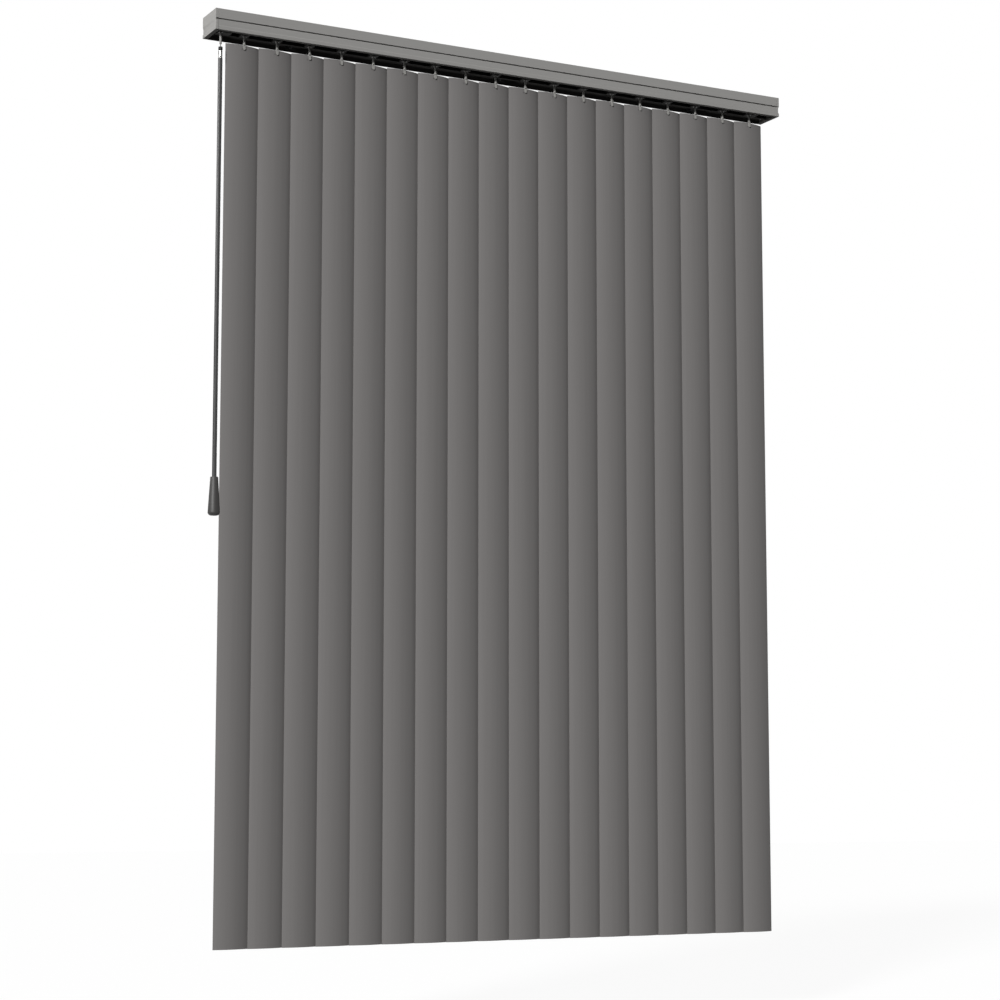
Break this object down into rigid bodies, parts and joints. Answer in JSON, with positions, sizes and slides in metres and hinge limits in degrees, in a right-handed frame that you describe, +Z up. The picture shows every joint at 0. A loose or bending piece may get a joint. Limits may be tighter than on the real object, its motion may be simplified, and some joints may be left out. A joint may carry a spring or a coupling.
{
  "type": "vertical blind",
  "caption": "Wide vertical blind: overlapping curved grey vanes hang from wheeled carriers in a slotted headrail behind a stepped valance, turned and drawn by a hanging wand.",
  "frame": {"origin": "centre of the wall screw pattern, on the wall plane behind the middle of the blind", "axes": "+X along the headrail to the right as seen from the room, +Y into the wall, +Z up"},
  "size_m": [1.558, 0.086, 2.141],
  "materials": {
    "vane_pvc": "matte embossed grey PVC",
    "carrier_acetal": "moulded dark grey acetal",
    "rail_enamel": "dark grey baked enamel on aluminium",
    "cap_plastic": "moulded dark grey plastic",
    "rod_aluminium": "mill-finish fluted aluminium",
    "valance_pvc": "satin grey extruded PVC",
    "clip_plastic": "moulded clear grey plastic",
    "bracket_steel": "pressed steel with a black enamel",
    "stem_acetal": "moulded grey acetal",
    "coupling_black": "moulded black plastic",
    "ferrule_bright": "silver-lacquered sleeve",
    "wand_grey": "extruded grey acrylic with eight sides",
    "handle_grey": "moulded grey plastic grip"
  },
  "bodies": {
    "frame": {"headrail": "rail_enamel", "end_cap_left": "cap_plastic", "end_cap_right": "cap_plastic", "stack_stop": "carrier_acetal", "carrier_18": "carrier_acetal", "valance_front": "valance_pvc", "valance_return_left": "valance_pvc", "valance_return_right": "valance_pvc", "valance_clips": "clip_plastic", "rear_panel": "rail_enamel", "bracket_left": "bracket_steel", "bracket_middle": "bracket_steel", "bracket_right": "bracket_steel"},
    "lead": {"wand_carrier": "carrier_acetal", "carrier_01": "carrier_acetal"},
    "carrier_02": {"carrier_02": "carrier_acetal"},
    "carrier_03": {"carrier_03": "carrier_acetal"},
    "carrier_04": {"carrier_04": "carrier_acetal"},
    "carrier_05": {"carrier_05": "carrier_acetal"},
    "carrier_06": {"carrier_06": "carrier_acetal"},
    "carrier_07": {"carrier_07": "carrier_acetal"},
    "carrier_08": {"carrier_08": "carrier_acetal"},
    "carrier_09": {"carrier_09": "carrier_acetal"},
    "carrier_10": {"carrier_10": "carrier_acetal"},
    "carrier_11": {"carrier_11": "carrier_acetal"},
    "carrier_12": {"carrier_12": "carrier_acetal"},
    "carrier_13": {"carrier_13": "carrier_acetal"},
    "carrier_14": {"carrier_14": "carrier_acetal"},
    "carrier_15": {"carrier_15": "carrier_acetal"},
    "carrier_16": {"carrier_16": "carrier_acetal"},
    "carrier_17": {"carrier_17": "carrier_acetal"},
    "vane_01": {"vane_01": "vane_pvc"},
    "vane_02": {"vane_02": "vane_pvc"},
    "vane_03": {"vane_03": "vane_pvc"},
    "vane_04": {"vane_04": "vane_pvc"},
    "vane_05": {"vane_05": "vane_pvc"},
    "vane_06": {"vane_06": "vane_pvc"},
    "vane_07": {"vane_07": "vane_pvc"},
    "vane_08": {"vane_08": "vane_pvc"},
    "vane_09": {"vane_09": "vane_pvc"},
    "vane_10": {"vane_10": "vane_pvc"},
    "vane_11": {"vane_11": "vane_pvc"},
    "vane_12": {"vane_12": "vane_pvc"},
    "vane_13": {"vane_13": "vane_pvc"},
    "vane_14": {"vane_14": "vane_pvc"},
    "vane_15": {"vane_15": "vane_pvc"},
    "vane_16": {"vane_16": "vane_pvc"},
    "vane_17": {"vane_17": "vane_pvc"},
    "vane_18": {"vane_18": "vane_pvc"},
    "tilt_rod": {"tilt_rod": "rod_aluminium"},
    "wand_stem": {"wand_stem": "stem_acetal"},
    "wand_coupling": {"wand_coupling": "coupling_black"},
    "wand_ferrule": {"wand_ferrule": "ferrule_bright", "wand_pin": "ferrule_bright"},
    "wand": {"wand_rod": "wand_grey", "wand_handle": "handle_grey"}
  },
  "joints": [
    {"name": "draw", "type": "slide", "parent": "frame", "child": "lead", "axis": [1, 0, 0], "range_m": [0, 0.212]},
    {"name": "draw_02", "type": "slide", "parent": "frame", "child": "carrier_02", "axis": [1, 0, 0], "range_m": [0, 0.20003]},
    {"name": "draw_03", "type": "slide", "parent": "frame", "child": "carrier_03", "axis": [1, 0, 0], "range_m": [0, 0.18756]},
    {"name": "draw_04", "type": "slide", "parent": "frame", "child": "carrier_04", "axis": [1, 0, 0], "range_m": [0, 0.17509]},
    {"name": "draw_05", "type": "slide", "parent": "frame", "child": "carrier_05", "axis": [1, 0, 0], "range_m": [0, 0.16262]},
    {"name": "draw_06", "type": "slide", "parent": "frame", "child": "carrier_06", "axis": [1, 0, 0], "range_m": [0, 0.15015]},
    {"name": "draw_07", "type": "slide", "parent": "frame", "child": "carrier_07", "axis": [1, 0, 0], "range_m": [0, 0.13768]},
    {"name": "draw_08", "type": "slide", "parent": "frame", "child": "carrier_08", "axis": [1, 0, 0], "range_m": [0, 0.12521]},
    {"name": "draw_09", "type": "slide", "parent": "frame", "child": "carrier_09", "axis": [1, 0, 0], "range_m": [0, 0.11274]},
    {"name": "draw_10", "type": "slide", "parent": "frame", "child": "carrier_10", "axis": [1, 0, 0], "range_m": [0, 0.10027]},
    {"name": "draw_11", "type": "slide", "parent": "frame", "child": "carrier_11", "axis": [1, 0, 0], "range_m": [0, 0.08779]},
    {"name": "draw_12", "type": "slide", "parent": "frame", "child": "carrier_12", "axis": [1, 0, 0], "range_m": [0, 0.07532]},
    {"name": "draw_13", "type": "slide", "parent": "frame", "child": "carrier_13", "axis": [1, 0, 0], "range_m": [0, 0.06285]},
    {"name": "draw_14", "type": "slide", "parent": "frame", "child": "carrier_14", "axis": [1, 0, 0], "range_m": [0, 0.05038]},
    {"name": "draw_15", "type": "slide", "parent": "frame", "child": "carrier_15", "axis": [1, 0, 0], "range_m": [0, 0.03791]},
    {"name": "draw_16", "type": "slide", "parent": "frame", "child": "carrier_16", "axis": [1, 0, 0], "range_m": [0, 0.02544]},
    {"name": "draw_17", "type": "slide", "parent": "frame", "child": "carrier_17", "axis": [1, 0, 0], "range_m": [0, 0.01297]},
    {"name": "tilt", "type": "hinge", "parent": "lead", "child": "vane_01", "pos_m": [-0.69725, -0.056, 0], "axis": [0, 0, 1], "range_deg": [0, 169]},
    {"name": "tilt_02", "type": "hinge", "parent": "carrier_02", "child": "vane_02", "pos_m": [-0.61475, -0.056, 0], "axis": [0, 0, 1], "range_deg": [0, 169.5]},
    {"name": "tilt_03", "type": "hinge", "parent": "carrier_03", "child": "vane_03", "pos_m": [-0.53225, -0.056, 0], "axis": [0, 0, 1], "range_deg": [0, 169.5]},
    {"name": "tilt_04", "type": "hinge", "parent": "carrier_04", "child": "vane_04", "pos_m": [-0.44975, -0.056, 0], "axis": [0, 0, 1], "range_deg": [0, 169.5]},
    {"name": "tilt_05", "type": "hinge", "parent": "carrier_05", "child": "vane_05", "pos_m": [-0.36725, -0.056, 0], "axis": [0, 0, 1], "range_deg": [0, 169.5]},
    {"name": "tilt_06", "type": "hinge", "parent": "carrier_06", "child": "vane_06", "pos_m": [-0.28475, -0.056, 0], "axis": [0, 0, 1], "range_deg": [0, 169.5]},
    {"name": "tilt_07", "type": "hinge", "parent": "carrier_07", "child": "vane_07", "pos_m": [-0.20225, -0.056, 0], "axis": [0, 0, 1], "range_deg": [0, 169.5]},
    {"name": "tilt_08", "type": "hinge", "parent": "carrier_08", "child": "vane_08", "pos_m": [-0.11975, -0.056, 0], "axis": [0, 0, 1], "range_deg": [0, 169.5]},
    {"name": "tilt_09", "type": "hinge", "parent": "carrier_09", "child": "vane_09", "pos_m": [-0.03725, -0.056, 0], "axis": [0, 0, 1], "range_deg": [0, 169.5]},
    {"name": "tilt_10", "type": "hinge", "parent": "carrier_10", "child": "vane_10", "pos_m": [0.04525, -0.056, 0], "axis": [0, 0, 1], "range_deg": [0, 169.5]},
    {"name": "tilt_11", "type": "hinge", "parent": "carrier_11", "child": "vane_11", "pos_m": [0.12775, -0.056, 0], "axis": [0, 0, 1], "range_deg": [0, 169.5]},
    {"name": "tilt_12", "type": "hinge", "parent": "carrier_12", "child": "vane_12", "pos_m": [0.21025, -0.056, 0], "axis": [0, 0, 1], "range_deg": [0, 169.5]},
    {"name": "tilt_13", "type": "hinge", "parent": "carrier_13", "child": "vane_13", "pos_m": [0.29275, -0.056, 0], "axis": [0, 0, 1], "range_deg": [0, 169.5]},
    {"name": "tilt_14", "type": "hinge", "parent": "carrier_14", "child": "vane_14", "pos_m": [0.37525, -0.056, 0], "axis": [0, 0, 1], "range_deg": [0, 169.5]},
    {"name": "tilt_15", "type": "hinge", "parent": "carrier_15", "child": "vane_15", "pos_m": [0.45775, -0.056, 0], "axis": [0, 0, 1], "range_deg": [0, 169.5]},
    {"name": "tilt_16", "type": "hinge", "parent": "carrier_16", "child": "vane_16", "pos_m": [0.54025, -0.056, 0], "axis": [0, 0, 1], "range_deg": [0, 169.5]},
    {"name": "tilt_17", "type": "hinge", "parent": "carrier_17", "child": "vane_17", "pos_m": [0.62275, -0.056, 0], "axis": [0, 0, 1], "range_deg": [0, 169.5]},
    {"name": "tilt_18", "type": "hinge", "parent": "frame", "child": "vane_18", "pos_m": [0.70525, -0.056, 0], "axis": [0, 0, 1], "range_deg": [0, 169.5]},
    {"name": "rod_spin", "type": "hinge", "parent": "frame", "child": "tilt_rod", "pos_m": [0, -0.0488, -0.0005], "axis": [1, 0, 0], "range_deg": [0, 1356]},
    {"name": "wand_stem_spin", "type": "hinge", "parent": "lead", "child": "wand_stem", "pos_m": [-0.75825, -0.063, -0.0545], "axis": [0, 0, 1], "range_deg": [0, 1356]},
    {"name": "wand_swing_front", "type": "hinge", "parent": "lead", "child": "wand_coupling", "pos_m": [-0.75825, -0.063, -0.0545], "axis": [-1, 0, 0], "range_deg": [0, 30]},
    {"name": "wand_swing_side", "type": "hinge", "parent": "wand_coupling", "child": "wand_ferrule", "pos_m": [-0.75825, -0.063, -0.065], "axis": [0, 1, 0], "range_deg": [0, 40]},
    {"name": "wand_twist", "type": "hinge", "parent": "wand_ferrule", "child": "wand", "pos_m": [-0.75825, -0.063, -0.065], "axis": [0, 0, 1], "range_deg": [0, 1356]}
  ],
  "couplings": [
    {"joint": "draw_02", "follows": "draw", "ratio": 0.94118},
    {"joint": "draw_03", "follows": "draw", "ratio": 0.88235},
    {"joint": "draw_04", "follows": "draw", "ratio": 0.82353},
    {"joint": "draw_05", "follows": "draw", "ratio": 0.76471},
    {"joint": "draw_06", "follows": "draw", "ratio": 0.70588},
    {"joint": "draw_07", "follows": "draw", "ratio": 0.64706},
    {"joint": "draw_08", "follows": "draw", "ratio": 0.58824},
    {"joint": "draw_09", "follows": "draw", "ratio": 0.52941},
    {"joint": "draw_10", "follows": "draw", "ratio": 0.47059},
    {"joint": "draw_11", "follows": "draw", "ratio": 0.41176},
    {"joint": "draw_12", "follows": "draw", "ratio": 0.35294},
    {"joint": "draw_13", "follows": "draw", "ratio": 0.29412},
    {"joint": "draw_14", "follows": "draw", "ratio": 0.23529},
    {"joint": "draw_15", "follows": "draw", "ratio": 0.17647},
    {"joint": "draw_16", "follows": "draw", "ratio": 0.11765},
    {"joint": "draw_17", "follows": "draw", "ratio": 0.058824},
    {"joint": "tilt_02", "follows": "tilt", "ratio": 1},
    {"joint": "tilt_03", "follows": "tilt", "ratio": 1},
    {"joint": "tilt_04", "follows": "tilt", "ratio": 1},
    {"joint": "tilt_05", "follows": "tilt", "ratio": 1},
    {"joint": "tilt_06", "follows": "tilt", "ratio": 1},
    {"joint": "tilt_07", "follows": "tilt", "ratio": 1},
    {"joint": "tilt_08", "follows": "tilt", "ratio": 1},
    {"joint": "tilt_09", "follows": "tilt", "ratio": 1},
    {"joint": "tilt_10", "follows": "tilt", "ratio": 1},
    {"joint": "tilt_11", "follows": "tilt", "ratio": 1},
    {"joint": "tilt_12", "follows": "tilt", "ratio": 1},
    {"joint": "tilt_13", "follows": "tilt", "ratio": 1},
    {"joint": "tilt_14", "follows": "tilt", "ratio": 1},
    {"joint": "tilt_15", "follows": "tilt", "ratio": 1},
    {"joint": "tilt_16", "follows": "tilt", "ratio": 1},
    {"joint": "tilt_17", "follows": "tilt", "ratio": 1},
    {"joint": "tilt_18", "follows": "tilt", "ratio": 1},
    {"joint": "rod_spin", "follows": "tilt", "ratio": 8},
    {"joint": "wand_stem_spin", "follows": "tilt", "ratio": 8},
    {"joint": "wand_twist", "follows": "tilt", "ratio": 8}
  ]
}
